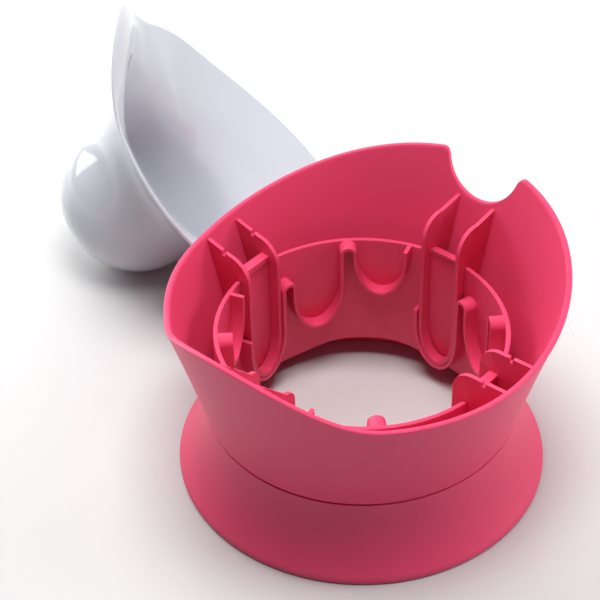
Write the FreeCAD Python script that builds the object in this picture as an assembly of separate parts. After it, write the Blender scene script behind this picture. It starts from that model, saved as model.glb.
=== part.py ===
"""Height-adjustable round stand with a lift-out bowl, in millimetres, +Z up.

The stand's axis is the Z axis and the floor is Z = 0. The lip of the stand faces -Y and its
finger notch +Y. A flared foot carries a ring with stepped cam tracks, and a flared collar hangs
on four U-shaped tongues that rest in the valleys of the tracks. The bowl lies beside the stand.
"""
import FreeCAD
import Part

import math
import os

from FreeCAD import Vector

# Cam ring: the tube inside the stand, hung from the shoulder by a flange.
TUBE_RADIUS = 104.3
TUBE_WALL = 3.4
TUBE_TOP = 117.5
TUBE_LOBE_BOTTOM = 13.5
TUBE_LOBE_LEAD = 10.0
TUBE_ARCH_RISE = 8.0
TUBE_FLANGE_WIDTH = 4.7
TUBE_FLANGE_THICKNESS = 2.5
TUBE_SEAT_CLEARANCE = 0.2

# Foot: a concave flared skirt with a shoulder at the waist and a flat bottom flange.
WAIST_GAP = 8.7
FOOT_FLARE = 22.0
FOOT_WALL = 3.2
FOOT_EDGE_HEIGHT = 4.5
FOOT_FLANGE_WIDTH = 13.0
WAIST_HEIGHT = 55.0
SKIRT_HOLLOW = 5.0
SHOULDER_THICKNESS = 3.0

# Grip ring: a soft ring pressed into a groove under the foot.
GRIP_RING_INSET = 6.0
GRIP_RING_WIDTH = 6.0
GRIP_RING_THICKNESS = 2.4
GRIP_RING_PROUD = 0.8

# Tongues: U-shaped straps that hang from the collar inside the tube.
TONGUE_COUNT = 4
TONGUE_SPACING = 31.0
TONGUE_WALL = 3.0
TONGUE_REACH = 13.3
TONGUE_BOTTOM = 20.0
TONGUE_BEND_DEPTH = 34.0
TONGUE_OUTER_LEG_BOTTOM = 62.0
TUBE_SLOT_CLEARANCE = 0.6
TUBE_SLOT_HEADROOM = 0.6
BRIDGE_WIDTH = 7.0
BRIDGE_HEIGHT = 4.5
REST_NOTCH_OFFSET = 10.7
REST_NOTCH_WIDTH = 3.0
REST_NOTCH_DEPTH = 3.5

# Cam tracks: wavy ribs inside the tube, with a valley for each seat height.
TRACK_VALLEYS = 3
TRACK_WALL = 3.0
TRACK_WIDTH = 10.4
TRACK_CLEARANCE = 0.6
TRACK_STEP_ANGLE = 30.0
TRACK_STEP_HEIGHT = 28.0
TRACK_FIRST_PEAK = 96.0
TRACK_FREE_END = 66.0

# Collar: the flared seat wall, trimmed by a saddle-shaped rim.
COLLAR_WALL = 4.0
SEAM_GAP = 0.9
COLLAR_MID_HEIGHT = 100.0
COLLAR_MID_FLARE = 11.4
COLLAR_TOP_HEIGHT = 200.0
COLLAR_TOP_FLARE = 41.5
RIM_SIDE_HEIGHT = 144.0
RIM_BACK_RISE = 39.0
RIM_BACK_SPREAD = 105.0
RIM_LIP_RISE = 40.0
RIM_LIP_SPREAD = 46.0
NOTCH_RADIUS = 32.0

# Bowl: a round bulb that flares into a saddle-rimmed flange, as it hangs in the stand.
BULB_RADIUS = 64.1
BULB_HEIGHT = 74.4
BULB_FLAT_RADIUS = 12.0
BOWL_WALL = 2.4
BOWL_RIM_LIFT = 4.5
BOWL_LIP_RISE = 26.5
BOWL_EDGE_FLARE = 21.0
BOWL_EDGE_HEIGHT = 24.0
BOWL_GAP = 158.0
BOWL_Y = 63.4
BOWL_HEADING = 38.0

# Flare of the bowl to each way: slope of its flange, height over the bulb's middle where the
# flange would start as a straight cone, and how softly it leaves the bulb.
FLARE_SIDE = (1.3, 42.2, 20.0)
FLARE_LIP = (0.7, 18.0, 14.0)
FLARE_BACK = (1.23, 51.1, 16.0)

RIM_POINTS = 48
ARC_POINTS = 16
TRACK_POINT_SPACING = 5.0
BULB_ROWS = 7
FLARE_ROWS = 18
SLOPE_STEP = 0.5

TUBE_INNER_RADIUS = TUBE_RADIUS - TUBE_WALL
TUBE_FLANGE_RADIUS = TUBE_RADIUS + TUBE_FLANGE_WIDTH
WAIST_RADIUS = TUBE_RADIUS + WAIST_GAP
FOOT_RADIUS = WAIST_RADIUS + FOOT_FLARE
GRIP_RING_RADIUS = FOOT_RADIUS - GRIP_RING_INSET
COLLAR_MID_RADIUS = WAIST_RADIUS + COLLAR_MID_FLARE
COLLAR_TOP_RADIUS = WAIST_RADIUS + COLLAR_TOP_FLARE
TONGUE_INNER_RADIUS = TUBE_RADIUS - TONGUE_REACH
REST_NOTCH_RADIUS = TUBE_RADIUS + REST_NOTCH_OFFSET
BOWL_X = -(FOOT_RADIUS + BOWL_GAP)
REACH = COLLAR_TOP_RADIUS + COLLAR_TOP_HEIGHT
COLLAR_BOTTOM = WAIST_HEIGHT + SEAM_GAP
TONGUE_HALF_WIDTH = (TONGUE_SPACING + TONGUE_WALL) / 2
TONGUE_BEND_HEIGHT = TONGUE_BOTTOM + TONGUE_BEND_DEPTH
RIM_BACK_HEIGHT = RIM_SIDE_HEIGHT + RIM_BACK_RISE

# Each tongue: name, angle of its middle, height of its top over the tube, slope of its top,
# rounding of its inner corner, and whether its top has a rest notch.
TONGUES = (
    ("right", 0.0, 141.0, 0.04, 15.0, True),
    ("back", 90.0, 150.0, 0.35, 22.0, False),
    ("left", 180.0, 134.0, 0.2, 18.0, True),
    ("front", 270.0, 137.5, 1.0, 8.0, True),
)


def revolve(points):
    """Turn a closed (radius, height) polygon about the Z axis."""
    corners = [Vector(radius, 0, height) for radius, height in points]
    face = Part.Face(Part.makePolygon(corners + corners[:1]))
    return face.revolve(Vector(0, 0, 0), Vector(0, 0, 1), 360)


def revolve_edges(edges):
    """Turn a closed loop of edges in the XZ plane about the Z axis."""
    face = Part.Face(Part.Wire(Part.__sortEdges__(edges)))
    return face.revolve(Vector(0, 0, 0), Vector(0, 0, 1), 360)


def arc_edge(start, middle, end):
    """Arc through three (radius, height) points in the XZ plane."""
    points = [Vector(radius, 0, height) for radius, height in (start, middle, end)]
    return Part.Arc(*points).toShape()


def line_edge(start, end):
    """Straight edge between two (radius, height) points in the XZ plane."""
    return Part.LineSegment(Vector(start[0], 0, start[1]), Vector(end[0], 0, end[1])).toShape()


def bump(angle, spread):
    """Smooth hump: 1 at angle 0, and 0 from the spread outwards, in degrees."""
    if abs(angle) >= spread:
        return 0.0
    return math.cos(math.radians(90.0 * angle / spread)) ** 2


def rim_height(angle, lip_rise=RIM_LIP_RISE):
    """Height of a saddle-shaped rim at an angle from +X, in degrees."""
    from_back = (angle - 90.0 + 180.0) % 360.0 - 180.0
    from_lip = (angle - 270.0 + 180.0) % 360.0 - 180.0
    rise = RIM_BACK_RISE * bump(from_back, RIM_BACK_SPREAD)
    return RIM_SIDE_HEIGHT + rise + lip_rise * bump(from_lip, RIM_LIP_SPREAD)


def arch_height(angle):
    """Height of the tube's scalloped lower edge: a lobe under the first valley of each track."""
    wave = (1 - math.cos(math.radians(TONGUE_COUNT * (angle + TUBE_LOBE_LEAD)))) / 2
    return TUBE_LOBE_BOTTOM + TUBE_ARCH_RISE * wave * wave * (3 - 2 * wave)


def wave_tool(height, inner_radius, outer_radius, thickness):
    """Ring-shaped block whose one face follows a height that varies round the axis."""
    loops = []
    for radius in (inner_radius, outer_radius):
        points = []
        for index in range(RIM_POINTS):
            angle = 360.0 * index / RIM_POINTS
            turn = math.radians(angle)
            points.append(Vector(radius * math.cos(turn), radius * math.sin(turn), height(angle)))
        curve = Part.BSplineCurve()
        curve.interpolate(points, PeriodicFlag=True)
        loops.append(curve.toShape())
    face = Part.makeRuledSurface(*loops)
    return face.extrude(Vector(0, 0, thickness))


def turned(shape, angle):
    """Copy of a shape turned about the stand's axis."""
    copy = shape.copy()
    copy.rotate(Vector(0, 0, 0), Vector(0, 0, 1), angle)
    return copy


def make_foot():
    """Skirt with a concave flare, a shoulder that carries the ring, and a grooved bottom flange."""
    bottom = GRIP_RING_PROUD
    edge_top = bottom + FOOT_EDGE_HEIGHT
    shoulder_bottom = WAIST_HEIGHT - SHOULDER_THICKNESS
    shoulder_inner = TUBE_RADIUS + TUBE_SEAT_CLEARANCE
    inner_waist = WAIST_RADIUS - FOOT_WALL
    middle_height = (edge_top + WAIST_HEIGHT) / 2
    middle_radius = (FOOT_RADIUS + WAIST_RADIUS) / 2 - SKIRT_HOLLOW
    flange_inner = FOOT_RADIUS - FOOT_FLANGE_WIDTH
    flange_top = bottom + FOOT_WALL
    flange_outer = FOOT_RADIUS - FOOT_WALL
    groove_inner = GRIP_RING_RADIUS - GRIP_RING_WIDTH / 2
    groove_outer = GRIP_RING_RADIUS + GRIP_RING_WIDTH / 2
    groove_top = GRIP_RING_THICKNESS
    corners = [
        (inner_waist, shoulder_bottom), (shoulder_inner, shoulder_bottom), (shoulder_inner, WAIST_HEIGHT),
        (WAIST_RADIUS, WAIST_HEIGHT),
    ]
    lower = [
        (FOOT_RADIUS, edge_top), (FOOT_RADIUS, bottom), (groove_outer, bottom), (groove_outer, groove_top),
        (groove_inner, groove_top), (groove_inner, bottom), (flange_inner, bottom), (flange_inner, flange_top),
        (flange_outer, flange_top),
    ]
    edges = [line_edge(a, b) for a, b in zip(corners, corners[1:])]
    edges += [arc_edge(corners[-1], (middle_radius, middle_height), lower[0])]
    edges += [line_edge(a, b) for a, b in zip(lower, lower[1:])]
    inner_middle = (middle_radius - FOOT_WALL, middle_height - FOOT_WALL / 2)
    edges += [arc_edge(lower[-1], inner_middle, corners[0])]
    return revolve_edges(edges)


def make_grip_ring():
    """Soft ring with a flat sole, in the groove under the foot."""
    inner = GRIP_RING_RADIUS - GRIP_RING_WIDTH / 2
    outer = GRIP_RING_RADIUS + GRIP_RING_WIDTH / 2
    return revolve([(inner, 0), (outer, 0), (outer, GRIP_RING_THICKNESS), (inner, GRIP_RING_THICKNESS)])


def make_cam_ring():
    """Tube with a scalloped lower edge and the flange that snaps up against the shoulder."""
    flange_top = WAIST_HEIGHT - SHOULDER_THICKNESS
    flange_bottom = flange_top - TUBE_FLANGE_THICKNESS
    ring = revolve([
        (TUBE_INNER_RADIUS, 0), (TUBE_RADIUS, 0), (TUBE_RADIUS, flange_bottom),
        (TUBE_FLANGE_RADIUS, flange_bottom), (TUBE_FLANGE_RADIUS, flange_top), (TUBE_RADIUS, flange_top),
        (TUBE_RADIUS, TUBE_TOP), (TUBE_INNER_RADIUS, TUBE_TOP),
    ])
    below = wave_tool(arch_height, TUBE_INNER_RADIUS / 2, TUBE_FLANGE_RADIUS * 2, -REACH)
    return ring.cut(below)


def track_side(offset):
    """Unrolled (arc length, height) points along one side of a cam track.

    The track is a chain of equal half-oval valleys one step apart, joined by narrow rounded peaks.
    The offset moves the line across the rib, towards the tongue when it is negative. Lengths are
    taken at the tongues' inner radius, where the valleys come closest to them.
    """
    pitch = math.radians(TRACK_STEP_ANGLE) * TONGUE_INNER_RADIUS
    spare = TRACK_CLEARANCE + TRACK_WALL / 2
    valley_half = TONGUE_HALF_WIDTH + spare + offset
    valley_depth = TONGUE_BEND_DEPTH + spare + offset
    peak_radius = pitch / 2 - TONGUE_HALF_WIDTH - spare
    peaks = (TRACK_FIRST_PEAK, TUBE_TOP)
    points = [(-valley_half, TRACK_FREE_END)]
    for step in range(TRACK_VALLEYS):
        centre = step * pitch
        bend = TONGUE_BEND_HEIGHT + step * TRACK_STEP_HEIGHT
        for index in range(ARC_POINTS + 1):
            turn = math.pi * (1 + index / ARC_POINTS)
            points.append((centre + valley_half * math.cos(turn), bend + valley_depth * math.sin(turn)))
        if step == TRACK_VALLEYS - 1:
            points.append((centre + valley_half, TUBE_TOP))
            continue
        top = peaks[step] - TRACK_WALL / 2 - peak_radius
        for index in range(ARC_POINTS + 1):
            turn = math.pi * (1 - index / ARC_POINTS)
            reach = peak_radius - offset
            points.append((centre + pitch / 2 + reach * math.cos(turn), top + reach * math.sin(turn)))
    return points


def filled_in(points):
    """The same points with others between them, so that a curve through them keeps to straight runs."""
    dense = [points[0]]
    for start, end in zip(points, points[1:]):
        parts = math.ceil(math.dist(start, end) / TRACK_POINT_SPACING)
        for index in range(1, parts + 1):
            share = index / parts
            dense.append((start[0] + (end[0] - start[0]) * share, start[1] + (end[1] - start[1]) * share))
    return dense


def wrapped(points, radius):
    """Lay unrolled points round a cylinder, clockwise from +X seen from above, as one curve."""
    laid = []
    for length, height in filled_in(points):
        turn = -length / TONGUE_INNER_RADIUS
        laid.append(Vector(radius * math.cos(turn), radius * math.sin(turn), height))
    curve = Part.BSplineCurve()
    curve.interpolate(laid)
    return curve.toShape()


def make_cam_track():
    """One wavy rib: four ruled faces between its wrapped edges, and a flat face at each end."""
    inner_radius = TUBE_INNER_RADIUS - TRACK_WIDTH
    upper = track_side(-TRACK_WALL / 2)
    lower = track_side(TRACK_WALL / 2)
    upper_inner = wrapped(upper, inner_radius)
    upper_outer = wrapped(upper, TUBE_INNER_RADIUS)
    lower_inner = wrapped(lower, inner_radius)
    lower_outer = wrapped(lower, TUBE_INNER_RADIUS)
    faces = [
        Part.makeRuledSurface(upper_inner, upper_outer), Part.makeRuledSurface(lower_inner, lower_outer),
        Part.makeRuledSurface(upper_inner, lower_inner), Part.makeRuledSurface(upper_outer, lower_outer),
    ]
    for end in (0, -1):
        loop = [edge.Vertexes[end].Point for edge in (upper_inner, upper_outer, lower_outer, lower_inner)]
        faces.append(Part.Face(Part.makePolygon(loop + loop[:1])))
    shell = Part.makeShell(faces)
    shell.sewShape()
    solid = Part.Solid(shell)
    if solid.Volume < 0:
        solid.reverse()
    return solid


def collar_outline(inset):
    """Arc of the collar's wall, moved towards the axis by an inset."""
    return arc_edge((WAIST_RADIUS - inset, COLLAR_BOTTOM), (COLLAR_MID_RADIUS - inset, COLLAR_MID_HEIGHT),
                    (COLLAR_TOP_RADIUS - inset, COLLAR_TOP_HEIGHT))


def collar_core(inset):
    """Solid that fills the collar's wall outline out to the axis."""
    top = (COLLAR_TOP_RADIUS - inset, COLLAR_TOP_HEIGHT)
    bottom = (WAIST_RADIUS - inset, COLLAR_BOTTOM)
    edges = [collar_outline(inset), line_edge(top, (0, COLLAR_TOP_HEIGHT))]
    edges += [line_edge((0, COLLAR_TOP_HEIGHT), (0, COLLAR_BOTTOM)), line_edge((0, COLLAR_BOTTOM), bottom)]
    return revolve_edges(edges)


def make_collar():
    """Flared wall, trimmed along the saddle rim and cut by the finger notch at the back."""
    wall = collar_core(0).cut(collar_core(COLLAR_WALL))
    wall = wall.cut(wave_tool(rim_height, TUBE_INNER_RADIUS / 2, COLLAR_TOP_RADIUS * 2, REACH))
    notch = Part.makeCylinder(NOTCH_RADIUS, REACH, Vector(0, 0, RIM_BACK_HEIGHT), Vector(0, 1, 0))
    return wall.cut(notch)


def tube_room():
    """Ring-shaped room for the tube's wall, with its clearances, that slots the tongues."""
    slot_top = TUBE_TOP + TUBE_SLOT_HEADROOM
    outer = Part.makeCylinder(TUBE_RADIUS + TUBE_SLOT_CLEARANCE, slot_top)
    return outer.cut(Part.makeCylinder(TUBE_INNER_RADIUS - TUBE_SLOT_CLEARANCE, slot_top))


def bend_edge(half_width, depth):
    """Half-oval bend of a tongue, in the YZ plane, below the end of its straight legs."""
    centre = Vector(0, 0, TONGUE_BEND_HEIGHT)
    oval = Part.Ellipse(centre + Vector(0, 0, -depth), centre + Vector(0, half_width, 0), centre)
    return Part.ArcOfEllipse(oval, -math.pi / 2, math.pi / 2).toShape()


def upright_edge(start, end):
    """Straight edge between two (across, height) points in the YZ plane."""
    return Part.LineSegment(Vector(0, *start), Vector(0, *end)).toShape()


def make_tongue(angle, top_height, slope, corner, has_notch):
    """U-shaped strap: two fins joined by a bend and a bridge, slotted to straddle the tube."""
    half = TONGUE_HALF_WIDTH
    thin = half - TONGUE_WALL
    bend = TONGUE_BEND_HEIGHT
    top = COLLAR_TOP_HEIGHT
    legs = [
        (half, bend), (half, top), (thin, top), (thin, bend), (-half, bend), (-half, top), (-thin, top), (-thin, bend),
    ]
    edges = [upright_edge(a, b) for a, b in zip(legs[:4], legs[1:4])]
    edges += [upright_edge(a, b) for a, b in zip(legs[4:], legs[5:])]
    edges += [bend_edge(half, TONGUE_BEND_DEPTH), bend_edge(thin, TONGUE_BEND_DEPTH - TONGUE_WALL)]
    strap = Part.Face(Part.Wire(Part.__sortEdges__(edges))).extrude(Vector(REACH, 0, 0))

    def line_height(radius):
        return top_height + slope * (radius - TUBE_RADIUS)

    corner_start = (TONGUE_INNER_RADIUS, line_height(TONGUE_INNER_RADIUS + corner) - corner)
    corner_end = (TONGUE_INNER_RADIUS + corner, line_height(TONGUE_INNER_RADIUS + corner))
    shift = corner * (1 - math.sqrt(0.5))
    corner_middle = (TONGUE_INNER_RADIUS + shift, corner_end[1] - shift)
    wall_radius = COLLAR_TOP_RADIUS
    path = [
        corner_end, (wall_radius, line_height(wall_radius)), (wall_radius, TONGUE_OUTER_LEG_BOTTOM),
        (TUBE_RADIUS, TONGUE_OUTER_LEG_BOTTOM), (TUBE_RADIUS, 0), (TONGUE_INNER_RADIUS, 0), corner_start,
    ]
    edges = [line_edge(a, b) for a, b in zip(path, path[1:])]
    edges.append(arc_edge(corner_start, corner_middle, corner_end))
    profile = Part.Face(Part.Wire(Part.__sortEdges__(edges)))
    profile.translate(Vector(0, -REACH / 2, 0))
    room = collar_core(COLLAR_WALL).fuse(Part.makeCylinder(TUBE_RADIUS, TUBE_TOP))
    tongue = strap.common(profile.extrude(Vector(0, REACH, 0))).common(room).cut(tube_room())
    bridge_start = TUBE_RADIUS - TUBE_WALL / 2 - BRIDGE_WIDTH / 2
    bridge_corner = Vector(bridge_start, -half, TUBE_TOP + TUBE_SLOT_HEADROOM)
    tongue = tongue.fuse(Part.makeBox(BRIDGE_WIDTH, 2 * half, BRIDGE_HEIGHT, bridge_corner)).removeSplitter()
    if has_notch:
        floor = line_height(REST_NOTCH_RADIUS) - REST_NOTCH_DEPTH
        corner_point = Vector(REST_NOTCH_RADIUS - REST_NOTCH_WIDTH / 2, -REACH / 2, floor)
        tongue = tongue.cut(Part.makeBox(REST_NOTCH_WIDTH, REACH, REACH, corner_point))
    return turned(tongue, angle)


def flare(height, shape):
    """Growth of the bowl's half-width over the bulb: a soft bend from upright to a cone."""
    slope, start, softness = shape
    rise = slope * (height - start)
    rest = -slope * start
    return (rise + math.hypot(rise, softness) - rest - math.hypot(rest, softness)) / 2


def bowl_rim_rise(angle):
    """Height of the bowl's rim over the middle of its bulb."""
    return rim_height(angle, BOWL_LIP_RISE) + BOWL_RIM_LIFT - BULB_HEIGHT


def bowl_radius(height, angle):
    """Radius of the bowl's outside at a height over its bulb's middle: an oval that flares out."""
    turn = math.radians(angle)
    side = BULB_RADIUS + flare(height, FLARE_SIDE)
    deep = BULB_RADIUS + flare(height, FLARE_BACK if math.sin(turn) > 0 else FLARE_LIP)
    oval = 1 / math.hypot(math.cos(turn) / side, math.sin(turn) / deep)
    edge_start = bowl_rim_rise(angle) - BOWL_EDGE_HEIGHT
    return oval + BOWL_EDGE_FLARE * (max(height - edge_start, 0) / BOWL_EDGE_HEIGHT) ** 2


def bowl_column(angle, inset):
    """Points up one side of the bowl, on its outside or, inset by the wall, on its inside."""
    turn = math.radians(angle)
    sphere = BULB_RADIUS - inset
    first = math.asin(BULB_FLAT_RADIUS / sphere)
    rows = []
    for index in range(BULB_ROWS):
        swing = first + (math.pi / 2 - first) * index / BULB_ROWS
        rows.append((sphere * math.sin(swing), -sphere * math.cos(swing)))
    rim = bowl_rim_rise(angle)
    for index in range(FLARE_ROWS + 1):
        height = rim * index / FLARE_ROWS
        slope = (bowl_radius(height, angle) - bowl_radius(height - SLOPE_STEP, angle)) / SLOPE_STEP
        share = min(height / BOWL_EDGE_HEIGHT, 1)
        lean = math.atan(slope) * share
        rows.append((bowl_radius(height, angle) - inset * math.cos(lean), height + inset * math.sin(lean)))
    return [Vector(r * math.cos(turn), r * math.sin(turn), BULB_HEIGHT + z) for r, z in rows]


def bowl_skin(inset):
    """One skin of the bowl, its bottom disc and its rim edge; the seam runs up the lip."""
    columns = [bowl_column(360.0 * index / RIM_POINTS - 90.0, inset) for index in range(RIM_POINTS + 1)]
    surface = Part.BSplineSurface()
    surface.interpolate(columns)
    skin = surface.toShape()
    low = min(skin.Edges, key=lambda edge: edge.CenterOfMass.z)
    high = max(skin.Edges, key=lambda edge: edge.CenterOfMass.z)
    return skin, Part.Face(Part.Wire(low)), high


def make_bowl():
    """Bowl with its saddle rim, tipped over to lie on its bulb and on the back of its rim."""
    outside, outside_disc, outside_rim = bowl_skin(0)
    inside, inside_disc, inside_rim = bowl_skin(BOWL_WALL)
    edge = Part.makeRuledSurface(outside_rim, inside_rim)
    shell = Part.makeShell([outside, outside_disc, inside, inside_disc, edge])
    shell.sewShape()
    bowl = Part.Solid(shell)
    if bowl.Volume < 0:
        bowl.reverse()
    rim_rise = bowl_rim_rise(90.0)
    rim_radius = bowl_radius(rim_rise, 90.0)
    reach = math.hypot(rim_radius, rim_rise)
    tilt = 180 - math.degrees(math.atan2(rim_radius, rim_rise) + math.acos(BULB_RADIUS / reach))
    bowl.rotate(Vector(0, 0, BULB_HEIGHT), Vector(1, 0, 0), -tilt)
    bowl.rotate(Vector(0, 0, BULB_HEIGHT), Vector(0, 0, 1), BOWL_HEADING - 90)
    bowl.translate(Vector(BOWL_X, BOWL_Y, BULB_RADIUS - BULB_HEIGHT))
    return bowl


def main():
    """Build each piece and write it to its own file."""
    os.makedirs("parts", exist_ok=True)
    pieces = {
        "foot": make_foot(),
        "grip_ring": make_grip_ring(),
        "cam_ring": make_cam_ring(),
        "collar": make_collar(),
        "bowl": make_bowl(),
    }
    track = make_cam_track()
    for name, angle, top_height, slope, corner, has_notch in TONGUES:
        pieces["cam_track_" + name] = turned(track, angle)
        pieces["tongue_" + name] = make_tongue(angle, top_height, slope, corner, has_notch)
    for name, shape in pieces.items():
        shape.exportStep("parts/" + name + ".step")
        box = shape.optimalBoundingBox()
        print(name, shape.ShapeType, len(shape.Solids), "valid", shape.isValid(), "volume", round(shape.Volume),
              "box", [round(v, 1) for v in (box.XMin, box.YMin, box.ZMin, box.XMax, box.YMax, box.ZMax)])


main()
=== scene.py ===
"""Look of a height-adjustable round stand and the glossy bowl that lies beside it.

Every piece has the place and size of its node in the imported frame. Lengths in the dataclasses are
millimetres, angles are degrees, and the meshes are in metres. The stand's axis is Z, its lip faces
-Y and its finger notch +Y.
"""
import logging
import math
from dataclasses import dataclass
from enum import Enum
from typing import Any

import bmesh
import bpy
import numpy as np
from mathutils import Matrix, Vector


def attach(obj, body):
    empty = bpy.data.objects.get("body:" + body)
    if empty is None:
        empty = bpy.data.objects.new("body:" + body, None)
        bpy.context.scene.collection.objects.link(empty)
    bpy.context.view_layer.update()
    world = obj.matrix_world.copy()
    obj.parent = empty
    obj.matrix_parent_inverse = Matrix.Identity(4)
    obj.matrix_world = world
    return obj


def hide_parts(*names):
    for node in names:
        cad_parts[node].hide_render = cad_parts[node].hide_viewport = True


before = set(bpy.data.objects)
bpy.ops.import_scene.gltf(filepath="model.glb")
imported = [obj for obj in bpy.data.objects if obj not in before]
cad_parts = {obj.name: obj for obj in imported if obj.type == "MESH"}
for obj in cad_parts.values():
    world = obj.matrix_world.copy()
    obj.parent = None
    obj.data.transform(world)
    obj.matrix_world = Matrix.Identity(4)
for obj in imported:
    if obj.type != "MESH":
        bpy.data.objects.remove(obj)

MM = 0.001
FULL_TURN = 2 * math.pi
HALF_TURN = math.pi
QUARTER_TURN = math.pi / 2
LOG = logging.getLogger("stand_and_bowl")
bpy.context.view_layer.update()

# Sizes that several pieces share, in millimetres
TUBE_RADIUS = 104.3
WAIST_GAP = 8.7
FOOT_FLARE = 22.0
TONGUE_REACH = 13.3
WAIST_HEIGHT = 55.0
SHOULDER_THICKNESS = 3.0
WAIST_RADIUS = TUBE_RADIUS + WAIST_GAP
FOOT_RADIUS = WAIST_RADIUS + FOOT_FLARE
TONGUE_INNER_RADIUS = TUBE_RADIUS - TONGUE_REACH

# The sRGB curve: a straight foot up to the knee, and a power above it
SRGB_KNEE = 0.04045
SRGB_FOOT_SLOPE = 12.92
SRGB_OFFSET = 0.055
SRGB_POWER = 2.4
FULL_BYTE = 255
WHITE = "#FFFFFF"

# Mesh cleaning, in metres
WELD_DISTANCE = 1e-6
TINY_EDGE = 1e-7

# Outlines: the rounding of a corner that looks sharp, and the most of a side that a rounding takes up
SHARP = 0.01
MOST_ROUNDING = 0.45

Corner = tuple[float, float, float]
Point = tuple[float, float]


class Body(Enum):
    """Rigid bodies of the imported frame."""

    BASE = "base"
    COLLAR = "seat_collar"
    BOWL = "lift_out_bowl"


class Slot(Enum):
    """Material slots of the record."""

    STAND = "stand"
    GRIP = "grip"
    BOWL = "bowl"


class Way(Enum):
    """Sides of the stand, with the angle of each from +X in degrees."""

    RIGHT = 0.0
    BACK = 90.0
    LEFT = 180.0
    FRONT = 270.0


# Colours and shader nodes


def linear(hex_colour: str) -> tuple[float, float, float, float]:
    """Turn an sRGB hex colour into linear RGBA.

    Args:
        hex_colour: Six hex digits after a hash.

    Returns:
        Linear red, green, blue and an alpha of 1.
    """
    shares = np.array(list(bytes.fromhex(hex_colour[1:]))) / FULL_BYTE
    power = ((shares + SRGB_OFFSET) / (1 + SRGB_OFFSET)) ** SRGB_POWER
    red, green, blue = np.where(shares <= SRGB_KNEE, shares / SRGB_FOOT_SLOPE, power).tolist()
    return (red, green, blue, 1.0)


def empty_tree(owner: bpy.types.Material | bpy.types.World) -> bpy.types.NodeTree:
    """Switch a material or the surroundings to nodes, and clear them.

    Args:
        owner: What the nodes belong to.

    Returns:
        Its empty node tree.
    """
    owner.use_nodes = True
    owner.node_tree.nodes.clear()
    return owner.node_tree


def add_node(tree: bpy.types.NodeTree, kind: str, settings: dict[str, Any] | None = None,
             *ordered: Any, **named: Any) -> bpy.types.Node:
    """Add one shader node, set it up and link what feeds it.

    Only the sockets that the node's settings leave in use are counted and named.

    Args:
        tree: Node tree to add to.
        kind: Blender's name of the node type.
        settings: Properties of the node itself.
        ordered: A value for each socket in order, or the output socket that feeds it.
        named: The same by the socket's name, with _ for a space.

    Returns:
        The new node.
    """
    node = tree.nodes.new(kind)
    for key, value in (settings or {}).items():
        setattr(node, key, value)
    in_use = [socket for socket in node.inputs if socket.enabled]
    by_name = {socket.name.replace(" ", "_"): socket for socket in reversed(in_use)}
    feeds = list(zip(in_use, ordered)) + [(by_name[key], value) for key, value in named.items()]
    for socket, value in feeds:
        if isinstance(value, bpy.types.NodeSocket):
            tree.links.new(value, socket)
        else:
            socket.default_value = value
    return node


def result(node: bpy.types.Node) -> bpy.types.NodeSocket:
    """First output of a node that its settings leave in use."""
    return next(socket for socket in node.outputs if socket.enabled)


def seen_by_eye(tree: bpy.types.NodeTree) -> bpy.types.NodeSocket:
    """Light path test that is 1 for what the camera sees: straight on, in a gloss or through glass.

    Args:
        tree: Node tree to add to.

    Returns:
        The socket that holds 1 or 0.
    """
    greater = {"operation": "MAXIMUM"}
    path = add_node(tree, "ShaderNodeLightPath").outputs
    bounced = add_node(tree, "ShaderNodeMath", greater, path["Is Glossy Ray"], path["Is Transmission Ray"])
    return result(add_node(tree, "ShaderNodeMath", greater, path["Is Camera Ray"], result(bounced)))


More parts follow.
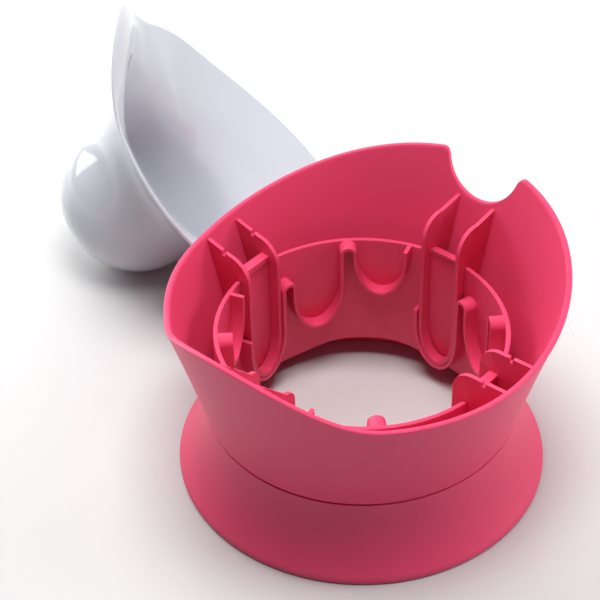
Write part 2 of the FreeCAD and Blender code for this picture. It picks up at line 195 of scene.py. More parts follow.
@dataclass(frozen=True)
class MouldedPlastic:
    """An opaque moulded plastic whose tool surface gives it its gloss and grain.

    Attributes:
        name: Common name of the material and how its surface was made.
        colour: Main colour.
        second: Colour of the faint flow clouding.
        cloud_mm: Size of that clouding.
        roughness: Least and greatest roughness over the surface.
        grain_mm: Pitch of the tool's texture, or of the ripple on a polished one.
        grain_height_mm: Depth of that texture.
        ior: Index of refraction.
        specular: Strength of the surface reflection, where 0.5 is a clean polished face.
        coat: Weight of a clear glossy skin.
        coat_roughness: Roughness of that skin.
        scatter: Share of light that scatters under the surface.
        scatter_mm: How far red light scatters there.
        scatter_share: How far red, green and blue scatter, as shares of that.
        cloud_detail: Octaves of the clouding.
        grain_detail: Octaves of the texture.
    """

    name: str
    colour: str
    second: str
    cloud_mm: float
    roughness: tuple[float, float]
    grain_mm: float
    grain_height_mm: float
    ior: float = 1.49
    specular: float = 0.5
    coat: float = 0.0
    coat_roughness: float = 0.04
    scatter: float = 0.0
    scatter_mm: float = 2.5
    scatter_share: tuple[float, float, float] = (1.0, 0.6, 0.6)
    cloud_detail: float = 3.0
    grain_detail: float = 2.0

    def material(self) -> bpy.types.Material:
        """Build the node material: clouded colour, grained gloss and a fine relief.

        Returns:
            A material named after the plastic.
        """
        made = bpy.data.materials.new(self.name)
        tree = empty_tree(made)
        least, greatest = self.roughness
        place = add_node(tree, "ShaderNodeTexCoord").outputs["Object"]
        cloud = add_node(tree, "ShaderNodeTexNoise", Vector=place, Scale=1 / (self.cloud_mm * MM),
                         Detail=self.cloud_detail)
        tint = add_node(tree, "ShaderNodeMix", {"data_type": "RGBA"}, Factor=result(cloud),
                        A=linear(self.colour), B=linear(self.second))
        grain = add_node(tree, "ShaderNodeTexNoise", Vector=place, Scale=1 / (self.grain_mm * MM),
                         Detail=self.grain_detail)
        gloss = add_node(tree, "ShaderNodeMapRange", Value=result(grain), To_Min=least, To_Max=greatest)
        relief = add_node(tree, "ShaderNodeBump", Height=result(grain), Strength=1.0,
                          Distance=self.grain_height_mm * MM)
        shader = add_node(tree, "ShaderNodeBsdfPrincipled", Base_Color=result(tint), IOR=self.ior,
                          Roughness=result(gloss), Normal=result(relief),
                          Specular_IOR_Level=self.specular, Coat_Weight=self.coat,
                          Coat_Roughness=self.coat_roughness, Subsurface_Weight=self.scatter,
                          Subsurface_Radius=self.scatter_share, Subsurface_Scale=self.scatter_mm * MM)
        add_node(tree, "ShaderNodeOutputMaterial", Surface=result(shader))
        return made


# Spark-eroded tool: an even satin that greys at grazing angles. The true grain is about 0.15 mm
# and is drawn coarser, so that it shows.
SATIN_PINK = MouldedPlastic(
    name="satin_moulded_polypropylene", colour="#DB4269", second="#DF476D", cloud_mm=45.0,
    roughness=(0.42, 0.52), grain_mm=0.7, grain_height_mm=0.012, specular=0.35)
# Polished tool: a hard gloss with a faint ripple from shrinkage, slightly milky at thin edges.
GLOSS_WHITE = MouldedPlastic(
    name="glossy_moulded_polypropylene", colour="#BCBFC7", second="#B8BBC4", cloud_mm=60.0,
    roughness=(0.06, 0.09), grain_mm=18.0, grain_height_mm=0.02, coat=0.5, scatter=0.06)
# Soft non-slip rubber: matt, with a dusty grain.
SOFT_GRIP = MouldedPlastic(
    name="moulded_soft_elastomer", colour="#A8304C", second="#A02C48", cloud_mm=20.0,
    roughness=(0.70, 0.85), grain_mm=0.5, grain_height_mm=0.02, ior=1.52)


# Mesh helpers


def add_object(name: str, data: bpy.types.ID) -> bpy.types.Object:
    """Put new data into the scene.

    Args:
        name: Name of the object.
        data: Its mesh, light or camera.

    Returns:
        The new object, at the origin.
    """
    added = bpy.data.objects.new(name, data)
    bpy.context.scene.collection.objects.link(added)
    return added


def grid_faces(rows: int, columns: int, closed_rows: bool, closed_columns: bool) -> np.ndarray:
    """Corner indices of the quads of a grid.

    Args:
        rows: Points along the first direction.
        columns: Points along the second direction.
        closed_rows: Whether the last row joins the first.
        closed_columns: Whether the last column joins the first.

    Returns:
        One row of four indices for each quad.
    """
    first = np.arange(rows if closed_rows else rows - 1)
    second = np.arange(columns if closed_columns else columns - 1)
    i, j = np.meshgrid(first, second, indexing="ij")
    here = i * columns
    beyond = (i + 1) % rows * columns
    after = (j + 1) % columns
    corners = [here + j, beyond + j, beyond + after, here + after]
    return np.stack([corner.ravel() for corner in corners], axis=-1)


def surface_piece(name: str, points: np.ndarray, closed_rows: bool, closed_columns: bool,
                  cap_rows: bool = False) -> bpy.types.Object:
    """Make a mesh piece from a grid of points, welded and facing outwards.

    Args:
        name: Name of the piece.
        points: Array of rows by columns by 3, in millimetres.
        closed_rows: Whether the last row joins the first.
        closed_columns: Whether the last column joins the first.
        cap_rows: Whether the first and last rows are closed by a face each.

    Returns:
        The new object, at the origin.
    """
    rows, columns = points.shape[:2]
    faces = grid_faces(rows, columns, closed_rows, closed_columns).tolist()
    if cap_rows:
        faces.append(list(range(columns)))
        faces.append(list(range((rows - 1) * columns, rows * columns))[::-1])
    mesh = bpy.data.meshes.new(name)
    mesh.from_pydata((points.reshape(-1, 3) * MM).tolist(), [], faces)
    finish_mesh(mesh)
    return add_object(name, mesh)


def finish_mesh(mesh: bpy.types.Mesh, sharp_angle: float = 50.0) -> None:
    """Weld a mesh, point its faces outwards and shade it smooth.

    Args:
        mesh: Mesh to finish.
        sharp_angle: Edges that bend by more than this stay sharp.
    """
    work = bmesh.new()
    work.from_mesh(mesh)
    bmesh.ops.remove_doubles(work, verts=work.verts, dist=WELD_DISTANCE)
    bmesh.ops.dissolve_degenerate(work, edges=work.edges, dist=TINY_EDGE)
    bmesh.ops.recalc_face_normals(work, faces=work.faces)
    if work.calc_volume(signed=True) < 0:
        bmesh.ops.reverse_faces(work, faces=work.faces)
    work.to_mesh(mesh)
    work.free()
    mesh.polygons.foreach_set("use_smooth", np.ones(len(mesh.polygons), dtype=bool))
    mesh.set_sharp_from_angle(angle=math.radians(sharp_angle))


def hollow_radius(start: Point, middle: Point, end: Point, height: np.ndarray) -> np.ndarray:
    """Radius at each height on the hollow arc through three points of a profile.

    The circle through the points has its centre outside the wall, so that the radius is
    centre_r - sqrt(arc^2 - (height - centre_z)^2).

    Args:
        start: First (radius, height) point.
        middle: Second point.
        end: Third point.
        height: Heights to find the radius at.

    Returns:
        Radii, in the shape of the heights.
    """
    first, second, third = (np.array(point) for point in (start, middle, end))
    sides = 2 * np.stack([second - first, third - first])
    squares = np.array([second @ second - first @ first, third @ third - first @ first])
    centre_r, centre_z = np.linalg.solve(sides, squares)
    arc = math.dist((centre_r, centre_z), start)
    return centre_r - np.sqrt(arc ** 2 - (height - centre_z) ** 2)


def rounded_loop(corners: list[Corner], steps: int = 5) -> np.ndarray:
    """Closed outline with its corners rounded by quadratic curves.

    Each corner P with neighbours A and B becomes (1-t)^2 A' + 2t(1-t) P + t^2 B', where A' and B'
    lie one rounding from P towards A and B, and never past MOST_ROUNDING of the way.

    Args:
        corners: Two coordinates and the rounding of each corner.
        steps: Points on each rounded corner, less one.

    Returns:
        Array of outline points.
    """
    table = np.array(corners, dtype=float)
    points = table[:, :2]
    t = np.linspace(0, 1, steps + 1)[None, :, None]
    before = np.roll(points, 1, axis=0) - points
    after = np.roll(points, -1, axis=0) - points
    reach_before = np.linalg.norm(before, axis=1, keepdims=True)
    reach_after = np.linalg.norm(after, axis=1, keepdims=True)
    radius = np.minimum(table[:, 2:], MOST_ROUNDING * np.minimum(reach_before, reach_after))
    a = (points + before / reach_before * radius)[:, None, :]
    b = (points + after / reach_after * radius)[:, None, :]
    p = points[:, None, :]
    return ((1 - t) ** 2 * a + 2 * t * (1 - t) * p + t ** 2 * b).reshape(-1, 2)


def turned(radius: np.ndarray, height: np.ndarray, angle: np.ndarray) -> np.ndarray:
    """Points (radius cos angle, radius sin angle, height), broadcast over whole arrays."""
    radius, height, angle = np.broadcast_arrays(radius, height, angle)
    return np.stack([radius * np.cos(angle), radius * np.sin(angle), height], axis=-1)


def once_round(count: int) -> np.ndarray:
    """Evenly spaced angles once round the axis, in radians, as a column."""
    return np.linspace(0, FULL_TURN, count, endpoint=False)[:, None]


def degrees_from(angle: np.ndarray, way: Way) -> np.ndarray:
    """Signed angle from one side of the stand, -180 to 180 degrees, of angles in radians."""
    return (np.degrees(angle) - way.value + 180) % 360 - 180


def hump(angle: np.ndarray, spread: float) -> np.ndarray:
    """Smooth hump cos^2(90 angle / spread), which is 0 from the spread outwards, in degrees."""
    return np.where(np.abs(angle) < spread, np.cos(np.radians(90 * angle / spread)) ** 2, 0.0)


def dress(piece: bpy.types.Object, material: bpy.types.Material, body: Body, node: str) -> None:
    """Give a piece its finish, its body and the node that it stands for.

    Args:
        piece: New piece.
        material: Its finish.
        body: Rigid body that it rides on.
        node: Node of the frame that it replaces.
    """
    piece.data.materials.clear()
    piece.data.materials.append(material)
    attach(piece, body.value)
    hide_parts(node)
    LOG.info("%s: %d vertices on %s", piece.name, len(piece.data.vertices), body.value)


# Sub-assemblies


@dataclass(frozen=True)
class SaddleRim:
    """Saddle-shaped rim line of the collar or the bowl: high at lip and notch, low at the sides."""

    side_height: float = 144.0
    back_rise: float = 39.0
    back_spread: float = 105.0
    lip_rise: float = 40.0
    lip_spread: float = 46.0

    def height(self, angle: np.ndarray) -> np.ndarray:
        """Height of the rim: the side height plus one hump at the back and one at the lip.

        Args:
            angle: Angles from +X, in radians.

        Returns:
            Heights in millimetres.
        """
        back = self.back_rise * hump(degrees_from(angle, Way.BACK), self.back_spread)
        lip = self.lip_rise * hump(degrees_from(angle, Way.FRONT), self.lip_spread)
        return self.side_height + back + lip


@dataclass
class Foot:
    """Concave flared skirt with its shoulder and its grooved bottom flange.

    A lead is how far the outside arc stops short of the waist or the edge, which are rounded. The
    seat is the hole in the shoulder that the inner tube passes through.
    """

    wall: float = 3.2
    bottom: float = 0.8
    edge_height: float = 4.5
    flange_width: float = 13.0
    hollow: float = 5.0
    seat_clearance: float = 0.2
    grip_inset: float = 6.0
    grip_width: float = 6.0
    grip_thickness: float = 2.4
    edge_round: float = 1.6
    edge_lead: float = 1.0
    flange_round: float = 0.8
    groove_round: float = 0.3
    groove_corner: float = 0.2
    seat_round: float = 0.3
    shoulder_round: float = 0.5
    waist_round: float = 1.0
    waist_lead: float = 1.2
    outside_rows: int = 28
    inside_rows: int = 20
    turns: int = 240

    def profile(self) -> np.ndarray:
        """Closed section of the skirt: its outside arc, bottom flange, inside arc and shoulder.

        Each arc is hollow, from the waist through a middle point that is set inwards to the edge.

        Returns:
            Array of (radius, height) points, once round.
        """
        edge_top = self.bottom + self.edge_height
        flange_top = self.bottom + self.wall
        flange_inner = FOOT_RADIUS - self.flange_width
        shoulder_bottom = WAIST_HEIGHT - SHOULDER_THICKNESS
        seat = TUBE_RADIUS + self.seat_clearance
        groove_outer = FOOT_RADIUS - self.grip_inset + self.grip_width / 2
        groove_inner = groove_outer - self.grip_width
        middle_radius = (FOOT_RADIUS + WAIST_RADIUS) / 2 - self.hollow
        middle_height = (edge_top + WAIST_HEIGHT) / 2
        fall = np.linspace(WAIST_HEIGHT - self.waist_lead, edge_top + self.edge_lead, self.outside_rows)
        outside = np.stack([hollow_radius((WAIST_RADIUS, WAIST_HEIGHT), (middle_radius, middle_height),
                                          (FOOT_RADIUS, edge_top), fall), fall], axis=-1)
        rise = np.linspace(flange_top, shoulder_bottom, self.inside_rows)
        inside = np.stack([hollow_radius((FOOT_RADIUS - self.wall, flange_top),
                                         (middle_radius - self.wall, middle_height - self.wall / 2),
                                         (WAIST_RADIUS - self.wall, shoulder_bottom), rise), rise], axis=-1)
        flange = rounded_loop([
            (*outside[-1], SHARP),
            (FOOT_RADIUS, edge_top - self.edge_lead, self.edge_lead),
            (FOOT_RADIUS, self.bottom, self.edge_round),
            (groove_outer, self.bottom, self.groove_round),
            (groove_outer, self.grip_thickness, self.groove_corner),
            (groove_inner, self.grip_thickness, self.groove_corner),
            (groove_inner, self.bottom, self.groove_round),
            (flange_inner, self.bottom, self.flange_round),
            (flange_inner, flange_top, self.flange_round),
            (*inside[0], SHARP),
        ])
        shoulder = rounded_loop([
            (*inside[-1], SHARP),
            (seat, shoulder_bottom, self.seat_round),
            (seat, WAIST_HEIGHT, self.shoulder_round),
            (WAIST_RADIUS, WAIST_HEIGHT, self.waist_round),
            (*outside[0], SHARP),
        ])
        return np.concatenate([outside, flange, inside, shoulder])

    def build(self, material: bpy.types.Material) -> None:
        """Sweep the section round the axis.

        Args:
            material: Finish of the stand.
        """
        section = self.profile()
        points = turned(section[None, :, 0], section[None, :, 1], once_round(self.turns))
        piece = surface_piece("foot_skirt", points, closed_rows=True, closed_columns=True)
        dress(piece, material, Body.BASE, "foot")


@dataclass
class CamRing:
    """Inner tube with a scalloped lower edge, and the wavy tracks on its inside.

    The lobes of the lower edge are turned by their lead from the four sides. A track's root takes up
    its share of the tube's wall, and its free end is the height where its lowest valley begins.
    """

    wall: float = 3.4
    top: float = 117.5
    lobe_bottom: float = 13.5
    lobe_lead: float = 10.0
    arch_rise: float = 8.0
    flange_width: float = 4.7
    flange_thickness: float = 2.5
    flange_round: float = 0.4
    edge_round: float = 0.9
    track_wall: float = 3.0
    track_width: float = 10.4
    track_root_share: float = 1 / 3
    track_clearance: float = 0.6
    valleys: int = 3
    step_angle: float = 30.0
    step_height: float = 28.0
    first_peak: float = 96.0
    free_end: float = 66.0
    tongue_half_width: float = 17.0
    tongue_bottom: float = 20.0
    bend_depth: float = 34.0
    bend_points: int = 25
    turns: int = 240

    def tube(self, material: bpy.types.Material) -> None:
        """Sweep the tube's section; its lower edge follows lobe + rise w^2 (3 - 2w).

        There w is (1 - cos 4(angle + lead)) / 2, so that a lobe lies under each track's first valley.

        Args:
            material: Finish of the stand.
        """
        inner = TUBE_RADIUS - self.wall
        flange = TUBE_RADIUS + self.flange_width
        flange_top = WAIST_HEIGHT - SHOULDER_THICKNESS
        flange_bottom = flange_top - self.flange_thickness
        section = rounded_loop([
            (inner, 0.0, self.edge_round),
            (TUBE_RADIUS, 0.0, self.edge_round),
            (TUBE_RADIUS, flange_bottom, self.flange_round),
            (flange, flange_bottom, self.flange_round),
            (flange, flange_top, self.flange_round),
            (TUBE_RADIUS, flange_top, self.flange_round),
            (TUBE_RADIUS, self.top, self.edge_round),
            (inner, self.top, self.edge_round),
        ])
        angle = once_round(self.turns)
        wave = (1 - np.cos(len(Way) * (angle + math.radians(self.lobe_lead)))) / 2
        low = self.lobe_bottom + self.arch_rise * wave ** 2 * (3 - 2 * wave)
        share = np.clip(1 - section[None, :, 1] / flange_bottom, 0, 1)
        points = turned(section[None, :, 0], section[None, :, 1] + low * share, angle)
        piece = surface_piece("cam_ring_tube", points, closed_rows=True, closed_columns=True)
        dress(piece, material, Body.BASE, "cam_ring")

    def track_line(self) -> tuple[np.ndarray, np.ndarray]:
        """Middle line of a track, unrolled: half-oval valleys a step apart, joined by round peaks.

        Returns:
            Points (arc length, height), and the unit way across the rib at each.
        """
        pitch = math.radians(self.step_angle) * TONGUE_INNER_RADIUS
        spare = self.track_clearance + self.track_wall / 2
        valley = self.tongue_half_width + spare
        peak = pitch / 2 - valley
        oval = np.array([valley, self.bend_depth + spare])
        bends = self.tongue_bottom + self.bend_depth + self.step_height * np.arange(self.valleys)
        tops = np.array([self.first_peak, self.top]) - self.track_wall / 2 - peak
        swing = np.linspace(0, HALF_TURN, self.bend_points)
        under = np.stack([-np.cos(swing), -np.sin(swing)], axis=-1)
        over = np.stack([-np.cos(swing), np.sin(swing)], axis=-1)
        points = [np.array([[-valley, self.free_end]])]
        ways = [np.array([[-1.0, 0.0]])]
        for step, bend in enumerate(bends):
            points.append(np.array([step * pitch, bend]) + oval * under)
            ways.append(under)
            if step < len(tops):
                points.append(np.array([(step + 0.5) * pitch, tops[step]]) + peak * over)
                ways.append(-over)
        points.append(np.array([[(self.valleys - 1) * pitch + valley, self.top]]))
        ways.append(np.array([[1.0, 0.0]]))
        return np.concatenate(points), np.concatenate(ways)

    def track(self, way: Way, material: bpy.types.Material) -> None:
        """Carry a rounded oblong section along the track line, wrapped round the tube's inside.

        Args:
            way: Side that the track starts from.
            material: Finish of the stand.
        """
        line, across = self.track_line()
        inner = TUBE_RADIUS - self.wall - self.track_width
        depth = self.track_width + self.track_root_share * self.wall
        half = self.track_wall / 2
        section = rounded_loop([
            (0.0, -half, self.edge_round),
            (depth, -half, SHARP),
            (depth, half, SHARP),
            (0.0, half, self.edge_round),
        ])
        place = line[:, None, :] + across[:, None, :] * section[None, :, 1:2]
        angle = math.radians(way.value) - place[..., 0] / TONGUE_INNER_RADIUS
        points = turned(inner + section[None, :, 0], place[..., 1], angle)
        name = "cam_track_" + way.name.lower()
        piece = surface_piece(name + "_rib", points, closed_rows=False, closed_columns=True, cap_rows=True)
        dress(piece, material, Body.BASE, name)

    def build(self, material: bpy.types.Material) -> None:
        """Make the tube and a track for each side.

        Args:
            material: Finish of the stand.
        """
        self.tube(material)
        for way in Way:
            self.track(way, material)


@dataclass
class Collar:
    """Flared seat wall with its saddle rim and finger notch, and the tongues inside it.

    The notch's arc swings to each side of its lowest point, and the pull is how much of a corner's
    width the handles of its curve take up. A tongue's tilt is its rise along the radius.
    """

    rim: SaddleRim = SaddleRim()
    seam_gap: float = 0.9
    middle_flare: float = 11.4
    middle_height: float = 100.0
    top_flare: float = 41.5
    top_height: float = 200.0
    wall: float = 4.0
    edge_round: float = 1.3
    notch_radius: float = 32.0
    notch_corner: float = 5.0
    notch_swing: float = 76.0
    notch_pull: float = 0.7
    notch_points: int = 41
    corner_points: int = 10
    edge_points: int = 6
    wall_rows: int = 40
    turns: int = 300
    tongue_tilt_from: float = 119.0
    tongue_tilt: tuple[tuple[Way, float], ...] = ((Way.BACK, -0.22), (Way.LEFT, 0.06))
    tongue_round: float = 0.7
    tongue_round_steps: int = 3
    tongue_round_angle: float = 40.0
    tongue_sharp_angle: float = 35.0

    def wall_radius(self, height: np.ndarray) -> np.ndarray:
        """Outside radius of the wall: the hollow arc through its bottom, middle and top points.

        Args:
            height: Heights in millimetres.

        Returns:
            Radii in millimetres.
        """
        bottom = (WAIST_RADIUS, WAIST_HEIGHT + self.seam_gap)
        middle = (WAIST_RADIUS + self.middle_flare, self.middle_height)
        top = (WAIST_RADIUS + self.top_flare, self.top_height)
        return hollow_radius(bottom, middle, top, height)

    def outline(self) -> tuple[np.ndarray, np.ndarray]:
        """Top edge of the wall: the saddle rim, broken by a round notch with soft corners.

        The notch is an arc about its middle on the rim's crest, and each of its corners a cubic curve.

        Returns:
            Angles from +X in radians and heights in millimetres, once round.
        """
        back = math.radians(Way.BACK.value)
        crest = float(self.rim.height(np.array(back)))
        radius = float(self.wall_radius(np.array(crest)))
        last = math.radians(self.notch_swing)
        swing = np.linspace(-last, last, self.notch_points)
        x = self.notch_radius * np.sin(swing)
        z = crest - self.notch_radius * np.cos(swing)
        far = self.notch_radius + self.notch_corner
        edge_angle = math.asin(far / radius)
        edge_height = float(self.rim.height(np.array(back - edge_angle)))
        pull = self.notch_pull * self.notch_corner
        start = np.array([x[-1], z[-1]])
        hold = start + pull * np.array([math.cos(last), math.sin(last)])
        ease = np.array([far - pull, edge_height])
        end = np.array([far, edge_height])
        t = np.linspace(0, 1, self.corner_points)[1:]
        weights = np.stack([(1 - t) ** 3, 3 * t * (1 - t) ** 2, 3 * t ** 2 * (1 - t), t ** 3], axis=-1)
        corner = weights @ np.stack([start, hold, ease, end])
        notch_x = np.concatenate([-corner[::-1, 0], x, corner[:, 0]])
        notch_z = np.concatenate([corner[::-1, 1], z, corner[:, 1]])
        notch_angle = back - np.arcsin(notch_x / radius)
        rest = np.linspace(back - edge_angle, back + edge_angle - FULL_TURN, self.turns)[1:-1]
        return np.concatenate([notch_angle, rest]), np.concatenate([notch_z, self.rim.height(rest)])

    def shell(self, material: bpy.types.Material) -> None:
        """Carry the wall's section along the outline, each column from the bottom to its edge.

        The section is the outside, the rounded rim, the inside and the rounded lower edge.

        Args:
            material: Finish of the stand.
        """
        angle, edge = self.outline()
        top = edge[:, None]
        soft = self.edge_round
        low = WAIST_HEIGHT + self.seam_gap
        climb = low + soft + (top - low - 2 * soft) * np.linspace(0, 1, self.wall_rows)
        side = self.wall_radius(climb)
        turn = np.linspace(0, QUARTER_TURN, self.edge_points)
        falling = soft * np.cos(turn)
        rising = soft * np.sin(turn)
        rim_level = top - soft
        rim_outer = self.wall_radius(top) - soft
        rim_inner = self.wall_radius(top) - self.wall + soft
        foot_level = np.full_like(top, low + soft)
        foot_outer = np.full_like(top, WAIST_RADIUS - soft)
        foot_inner = np.full_like(top, WAIST_RADIUS - self.wall + soft)
        radius = [side, rim_outer + falling, rim_inner - rising,
                  side[:, ::-1] - self.wall, foot_inner - falling, foot_outer + rising]
        height = [climb, rim_level + rising, rim_level + falling,
                  climb[:, ::-1], foot_level - rising, foot_level - falling]
        points = turned(np.concatenate(radius, axis=1), np.concatenate(height, axis=1), angle[:, None])
        piece = surface_piece("collar_wall", points, closed_rows=True, closed_columns=True)
        dress(piece, material, Body.COLLAR, "collar")

    def tongue(self, way: Way, material: bpy.types.Material) -> None:
        """Dress one tongue: the frame's own shape, welded, with its moulded edges softened.

        Above the inner ring its top is tilted along the radius, z + tilt (radius - inner radius), so
        that its fins meet the wall where the photograph shows it.

        Args:
            way: Side that the tongue is on.
            material: Finish of the stand.
        """
        name = "tongue_" + way.name.lower()
        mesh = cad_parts[name].data.copy()
        points = np.empty((len(mesh.vertices), 3), dtype=np.float32)
        mesh.vertices.foreach_get("co", points.ravel())
        beyond = np.hypot(points[:, 0], points[:, 1]) - TONGUE_INNER_RADIUS * MM
        above = points[:, 2] > self.tongue_tilt_from * MM
        points[:, 2] += np.where(above, dict(self.tongue_tilt).get(way, 0.0) * beyond, 0.0)
        mesh.vertices.foreach_set("co", points.ravel())
        finish_mesh(mesh, self.tongue_sharp_angle)
        piece = add_object(name + "_strap", mesh)
        soften = piece.modifiers.new("moulded_edges", "BEVEL")
        soften.width = self.tongue_round * MM
        soften.segments = self.tongue_round_steps
        soften.limit_method = "ANGLE"
        soften.angle_limit = math.radians(self.tongue_round_angle)
        soften.harden_normals = True
        dress(piece, material, Body.COLLAR, name)

    def build(self, material: bpy.types.Material) -> None:
        """Make the wall and the four tongues.

        Args:
            material: Finish of the stand.
        """
        self.shell(material)
        for way in Way:
            self.tongue(way, material)


@dataclass
class Bowl:
    """Round bulb that flares into a saddle-rimmed flange, lying on its bulb and rim.

    Each flare is its slope, the height where it starts and the softness of that start. The skins stop
    short of the rim line by the rim's drop, so that its rounded crown, a share of half the wall high,
    stays in the frame's own box.
    """

    rim: SaddleRim = SaddleRim(lip_rise=26.5)
    rim_lift: float = 4.5
    bulb_radius: float = 64.1
    bulb_height: float = 74.4
    wall: float = 2.4
    edge_flare: float = 21.0
    edge_height: float = 24.0
    flare_side: tuple[float, float, float] = (1.3, 42.2, 20.0)
    flare_lip: tuple[float, float, float] = (0.7, 18.0, 14.0)
    flare_back: tuple[float, float, float] = (1.23, 51.1, 16.0)
    gap_from_foot: float = 158.0
    behind_middle: float = 63.4
    heading: float = 38.0
    slope_step: float = 0.5
    rim_drop: float = 0.6
    rim_crown_share: float = 0.6
    rim_points: int = 9
    bulb_rows: int = 28
    flare_rows: int = 60
    turns: int = 288

    @staticmethod
    def flare(height: np.ndarray, shape: tuple[float, float, float]) -> np.ndarray:
        """Growth of the half-width: the hyperbola between upright and a cone of the given slope.

        Args:
            height: Heights over the bulb's middle.
            shape: Slope, start and softness.

        Returns:
            Growth at each height, 0 at the bulb's middle.
        """
        slope, start, softness = shape
        rise = slope * (height - start)
        rest = -slope * start
        return (rise + np.hypot(rise, softness) - rest - math.hypot(rest, softness)) / 2

    def rim_rise(self, angle: np.ndarray) -> np.ndarray:
        """Height of the rim over the middle of the bulb."""
        return self.rim.height(angle) + self.rim_lift - self.bulb_height

    def radius(self, height: np.ndarray, angle: np.ndarray) -> np.ndarray:
        """Outside radius: an oval whose half-widths flare, plus an edge that turns out at the rim.

        Args:
            height: Heights over the bulb's middle.
            angle: Angles from +X, in radians.

        Returns:
            Radii in millimetres.
        """
        side, back, lip = (self.bulb_radius + self.flare(height, shape)
                           for shape in (self.flare_side, self.flare_back, self.flare_lip))
        deep = np.where(np.sin(angle) > 0, back, lip)
        oval = 1 / np.hypot(np.cos(angle) / side, np.sin(angle) / deep)
        over = np.maximum(height - self.rim_rise(angle) + self.edge_height, 0) / self.edge_height
        return oval + self.edge_flare * over ** 2

    def skin(self, angle: np.ndarray, inset: float) -> np.ndarray:
        """Section of one skin up each column: part of a sphere, then the flare up to the rim.

        Args:
            angle: Column angles in radians, as a column.
            inset: 0 for the outside, or the wall for the inside.

        Returns:
            Array of columns by rows by (radius, height over the bulb's middle).
        """
        swing = np.linspace(0, QUARTER_TURN, self.bulb_rows, endpoint=False)[None, :]
        sphere = self.bulb_radius - inset
        low_radius = np.broadcast_to(sphere * np.sin(swing), (len(angle), self.bulb_rows))
        low_height = np.broadcast_to(-sphere * np.cos(swing), low_radius.shape)
        height = (self.rim_rise(angle) - self.rim_drop) * np.linspace(0, 1, self.flare_rows)[None, :]
        outside = self.radius(height, angle)
        slope = (outside - self.radius(height - self.slope_step, angle)) / self.slope_step
        lean = np.arctan(slope) * np.minimum(height / self.edge_height, 1)
        radius = np.concatenate([low_radius, outside - inset * np.cos(lean)], axis=1)
        rise = np.concatenate([low_height, height + inset * np.sin(lean)], axis=1)
        return np.stack([radius, rise], axis=-1)

    def laid_down(self, points: np.ndarray) -> np.ndarray:
        """Tip the bowl from hanging to lying: the floor touches its bulb and the back of its rim.

        Args:
            points: Points of the upright bowl, about the bulb's middle.

        Returns:
            The points where the bowl lies.
        """
        back = np.array(math.radians(Way.BACK.value))
        rise = float(self.rim_rise(back))
        reach_out = float(self.radius(np.array(rise), back))
        reach = math.hypot(reach_out, rise)
        tilt = math.atan2(reach_out, rise) + math.acos(self.bulb_radius / reach) - HALF_TURN
        turn = math.radians(self.heading - Way.BACK.value)
        tip = np.array([[1, 0, 0],
                        [0, math.cos(tilt), -math.sin(tilt)],
                        [0, math.sin(tilt), math.cos(tilt)]])
        swing = np.array([[math.cos(turn), -math.sin(turn), 0],
                          [math.sin(turn), math.cos(turn), 0],
                          [0, 0, 1]])
        place = np.array([-(FOOT_RADIUS + self.gap_from_foot), self.behind_middle, self.bulb_radius])
        return points @ (swing @ tip).T + place

    def build(self, material: bpy.types.Material) -> None:
        """Join the two skins over a rounded rim and lay the bowl down.

        Args:
            material: Finish of the bowl.
        """
        angle = once_round(self.turns)
        outside = self.skin(angle, 0.0)
        inside = self.skin(angle, self.wall)
        edge_out = outside[:, -1:, :]
        edge_in = inside[:, -1:, :]
        swing = np.linspace(0, HALF_TURN, self.rim_points)[None, 1:-1, None]
        across = (edge_out - edge_in) / 2
        crown = np.stack([-across[..., 1], across[..., 0]], axis=-1) * self.rim_crown_share
        rim = (edge_out + edge_in) / 2 + across * np.cos(swing) + crown * np.sin(swing)
        section = np.concatenate([outside, rim, inside[:, ::-1]], axis=1)
        points = self.laid_down(turned(section[..., 0], section[..., 1], angle))
        piece = surface_piece("bowl_body", points, closed_rows=True, closed_columns=False)
        dress(piece, material, Body.BOWL, "bowl")


@dataclass
class GripRing:
    """Soft ring under the foot, which keeps the frame's own shape."""

    node: str = "grip_ring"

    def build(self, material: bpy.types.Material) -> None:
        """Give the ring its rubber finish.

        Args:
            material: Finish of the ring.
        """
        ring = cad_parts[self.node]
        ring.data.materials.clear()
        ring.data.materials.append(material)
        LOG.info("%s: frame node", self.node)


# Stage


@dataclass(frozen=True)
class Softbox:
    """A square soft light, aimed at the stand.

    Attributes:
        name: Name of the light.
        place: Its middle.
        side: Length of its side.
        power: Power in watts.
        mirrored: Whether it shows in a gloss.
    """

    name: str
    place: tuple[float, float, float]
    side: float
    power: float
    mirrored: bool = False


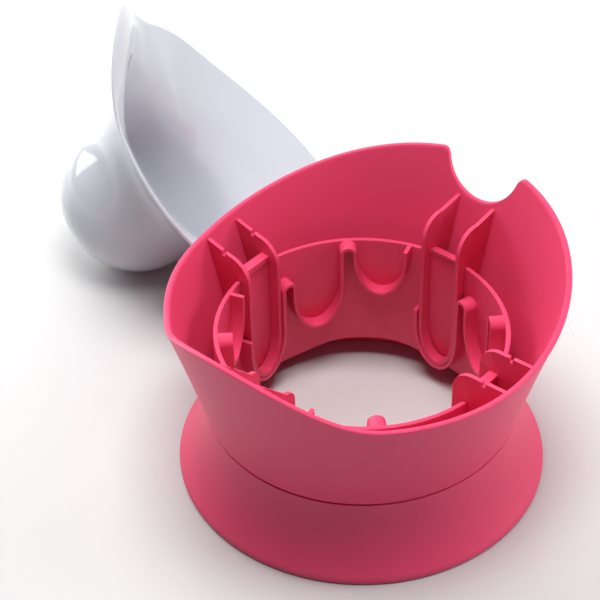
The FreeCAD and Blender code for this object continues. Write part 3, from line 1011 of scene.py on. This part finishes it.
@dataclass
class Studio:
    """Pale floor, soft lights and the camera at the photograph's angle.

    The floor's own glow rises with the distance from the stand, from none at the start of the fade to
    its white at the end. The surroundings are one white to the eye and another as a light.
    """

    floor_size: float = 12000.0
    floor_colour: str = "#CECECE"
    floor_roughness: float = 0.3
    floor_ior: float = 1.35
    fade_start: float = 300.0
    fade_end: float = 1600.0
    fade_white: float = 0.9
    white_seen: float = 1.0
    white_light: float = 0.09
    target: tuple[float, float, float] = (0.0, 0.0, 80.0)
    eye: tuple[float, float, float] = (528.9, -663.2, 829.4)
    azimuth: float = 41.46
    elevation: float = 39.03
    roll: float = -1.34
    focal_pixels: float = 1577.5
    image_pixels: float = 600.0
    sensor_width: float = 36.0
    sight: float = 100000.0
    lights: tuple[Softbox, ...] = (
        Softbox("overhead_softbox", (60.0, -80.0, 1500.0), 700.0, 20.0),
        Softbox("right_softbox", (1000.0, 1000.0, 520.0), 1000.0, 14.0),
        Softbox("left_back_softbox", (-1144.0, 426.0, 970.0), 1800.0, 20.0),
        Softbox("left_softbox", (-1440.0, 20.0, 700.0), 1000.0, 9.5, mirrored=True),
    )

    def floor(self) -> None:
        """Lay a plain pale floor with a faint polish, which fades to white far from the object."""
        span = np.array([-self.floor_size / 2, self.floor_size / 2])
        x, y = np.meshgrid(span, span)
        corners = np.stack([x, y, np.zeros_like(x)], axis=-1)
        piece = surface_piece("studio_floor", corners, closed_rows=False, closed_columns=False)
        made = bpy.data.materials.new("studio_white_floor")
        tree = empty_tree(made)
        place = add_node(tree, "ShaderNodeTexCoord").outputs["Object"]
        away = add_node(tree, "ShaderNodeVectorMath", {"operation": "LENGTH"}, place)
        fade = add_node(tree, "ShaderNodeMapRange", {"interpolation_type": "SMOOTHSTEP"},
                        Value=result(away), From_Min=self.fade_start * MM, From_Max=self.fade_end * MM,
                        To_Max=self.fade_white)
        lift = add_node(tree, "ShaderNodeMath", {"operation": "MULTIPLY"}, seen_by_eye(tree), result(fade))
        shader = add_node(tree, "ShaderNodeBsdfPrincipled", Base_Color=linear(self.floor_colour),
                          Roughness=self.floor_roughness, IOR=self.floor_ior,
                          Emission_Color=linear(WHITE), Emission_Strength=result(lift))
        add_node(tree, "ShaderNodeOutputMaterial", Surface=result(shader))
        piece.data.materials.append(made)

    def world(self) -> None:
        """White surroundings: full white to the camera and to reflections, dimmer as a light."""
        world = bpy.data.worlds.new("studio_surroundings")
        bpy.context.scene.world = world
        tree = empty_tree(world)
        light, seen = (add_node(tree, "ShaderNodeBackground", Color=linear(WHITE), Strength=strength)
                       for strength in (self.white_light, self.white_seen))
        mix = add_node(tree, "ShaderNodeMixShader", None, seen_by_eye(tree), result(light), result(seen))
        add_node(tree, "ShaderNodeOutputWorld", Surface=result(mix))

    def lamps(self) -> None:
        """Hang the softboxes; only the left one shows in the bowl's gloss."""
        aim = np.array(self.target) * MM
        for box in self.lights:
            data = bpy.data.lights.new(box.name, "AREA")
            data.shape = "SQUARE"
            data.size = box.side * MM
            data.energy = box.power
            lamp = add_object(box.name, data)
            place = np.array(box.place) * MM
            lamp.location = place
            lamp.visible_glossy = box.mirrored
            lamp.rotation_euler = Vector(aim - place).to_track_quat("-Z", "Y").to_euler()

    def camera(self) -> None:
        """Set the camera by its place, the way it faces and its focal length in pixels."""
        azimuth, elevation, roll = np.radians([self.azimuth, self.elevation, self.roll])
        level = np.array([math.cos(azimuth), math.sin(azimuth), 0.0])
        ahead = np.array([-math.sin(azimuth), math.cos(azimuth), 0.0])
        forward = ahead * math.cos(elevation) - np.array([0.0, 0.0, math.sin(elevation)])
        upright = np.cross(level, forward)
        right = level * math.cos(roll) + upright * math.sin(roll)
        up = upright * math.cos(roll) - level * math.sin(roll)
        data = bpy.data.cameras.new("photo_camera")
        data.sensor_width = self.sensor_width
        data.lens = self.focal_pixels / self.image_pixels * self.sensor_width
        data.clip_end = self.sight * MM
        camera = add_object("photo_camera", data)
        camera.location = np.array(self.eye) * MM
        camera.rotation_euler = Matrix((right, up, -forward)).transposed().to_euler()
        bpy.context.scene.camera = camera

    def build(self) -> None:
        """Make the whole stage."""
        self.floor()
        self.world()
        self.lamps()
        self.camera()
        bpy.context.scene.view_settings.view_transform = "Standard"


def main() -> None:
    """Build the stand, the bowl and the stage."""
    logging.basicConfig(level=logging.INFO, format="%(name)s %(message)s")
    pink = SATIN_PINK.material()
    Foot().build(pink)
    CamRing().build(pink)
    Collar().build(pink)
    Bowl().build(GLOSS_WHITE.material())
    GripRing().build(SOFT_GRIP.material())
    Studio().build()
    bpy.context.view_layer.update()


if __name__ == "__main__":
    main()
